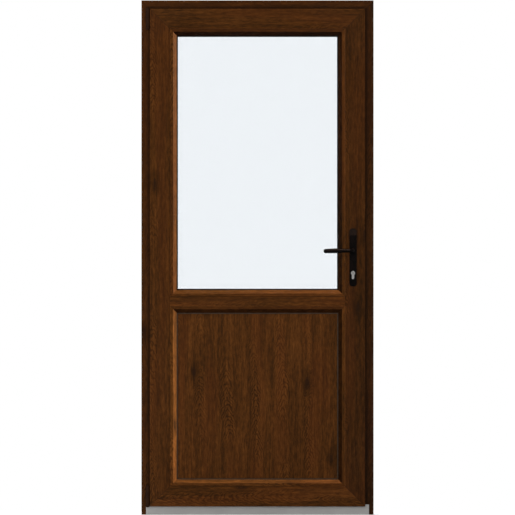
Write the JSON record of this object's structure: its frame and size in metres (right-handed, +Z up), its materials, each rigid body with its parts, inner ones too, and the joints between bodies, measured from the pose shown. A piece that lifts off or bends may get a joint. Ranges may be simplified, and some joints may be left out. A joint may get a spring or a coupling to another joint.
{
  "type": "entrance door",
  "caption": "Wood-look plastic entrance door, glazed above and panelled below, hung in its frame on a metal threshold, with a plate lever handle and a cylinder lock.",
  "frame": {"origin": "middle of the threshold's underside, half way through the frame's depth", "axes": "+X towards the lock side, +Y outdoors, +Z up"},
  "size_m": [0.97, 0.191, 2.15],
  "materials": {
    "foil_upright": "dark wood-grain foil, grain upright",
    "foil_level": "dark wood-grain foil, grain level",
    "seal_rubber": "matt",
    "threshold_aluminium": "anodised",
    "thermal_break": "matt",
    "glass": "clear",
    "spacer_aluminium": "matt",
    "drip_rail_coating": "satin brown",
    "hinge_coating": "satin brown",
    "lock_steel": "zinc plated",
    "cylinder_nickel": "satin nickel",
    "handle_coating": "satin black"
  },
  "bodies": {
    "frame": {"threshold_inner": "threshold_aluminium", "threshold_thermal_break": "thermal_break", "threshold_outer": "threshold_aluminium", "hinge_jamb": "foil_upright", "lock_jamb": "foil_upright", "frame_head": "foil_level", "frame_seal": "seal_rubber", "keep_upper": "lock_steel", "keep_middle": "lock_steel", "keep_lower": "lock_steel", "hinge_top_frame_half": "hinge_coating", "hinge_bottom_frame_half": "hinge_coating"},
    "leaf": {"leaf_hinge_stile": "foil_upright", "leaf_lock_stile": "foil_upright", "leaf_top_rail": "foil_level", "leaf_bottom_rail": "foil_level", "leaf_mid_rail": "foil_level", "leaf_seal": "seal_rubber", "glass_bead_left": "foil_upright", "glass_bead_right": "foil_upright", "glass_bead_top": "foil_level", "glass_bead_bottom": "foil_level", "panel_bead_left": "foil_upright", "panel_bead_right": "foil_upright", "panel_bead_top": "foil_level", "panel_bead_bottom": "foil_level", "glass_gasket_inside": "seal_rubber", "glass_gasket_outside": "seal_rubber", "panel_gasket_inside": "seal_rubber", "panel_gasket_outside": "seal_rubber", "glass_pane_inside": "glass", "glass_spacer": "spacer_aluminium", "glass_pane_outside": "glass", "lower_panel": "foil_upright", "drip_rail": "drip_rail_coating", "hinge_top_leaf_half": "hinge_coating", "hinge_bottom_leaf_half": "hinge_coating", "lock_faceplate": "lock_steel", "latch_bolt": "lock_steel", "dead_bolt": "lock_steel", "handle_plate_inside": "handle_coating", "handle_plate_outside": "handle_coating", "lock_cylinder": "cylinder_nickel", "cylinder_plug_inside": "cylinder_nickel", "cylinder_plug_outside": "cylinder_nickel"},
    "handle": {"lever_inside": "handle_coating", "lever_outside": "handle_coating", "handle_spindle": "lock_steel"}
  },
  "joints": [
    {"name": "leaf_swing", "type": "hinge", "parent": "frame", "child": "leaf", "pos_m": [-0.4584, -0.0441, 1.075], "axis": [0, 0, -1], "range_deg": [0, 110]},
    {"name": "lever_turn", "type": "hinge", "parent": "leaf", "child": "handle", "pos_m": [0.399, -0.018, 1.102], "axis": [0, -1, 0], "range_deg": [0, 40], "stiffness_Nm_per_rad": 1.2, "springref_deg": -28.65}
  ]
}
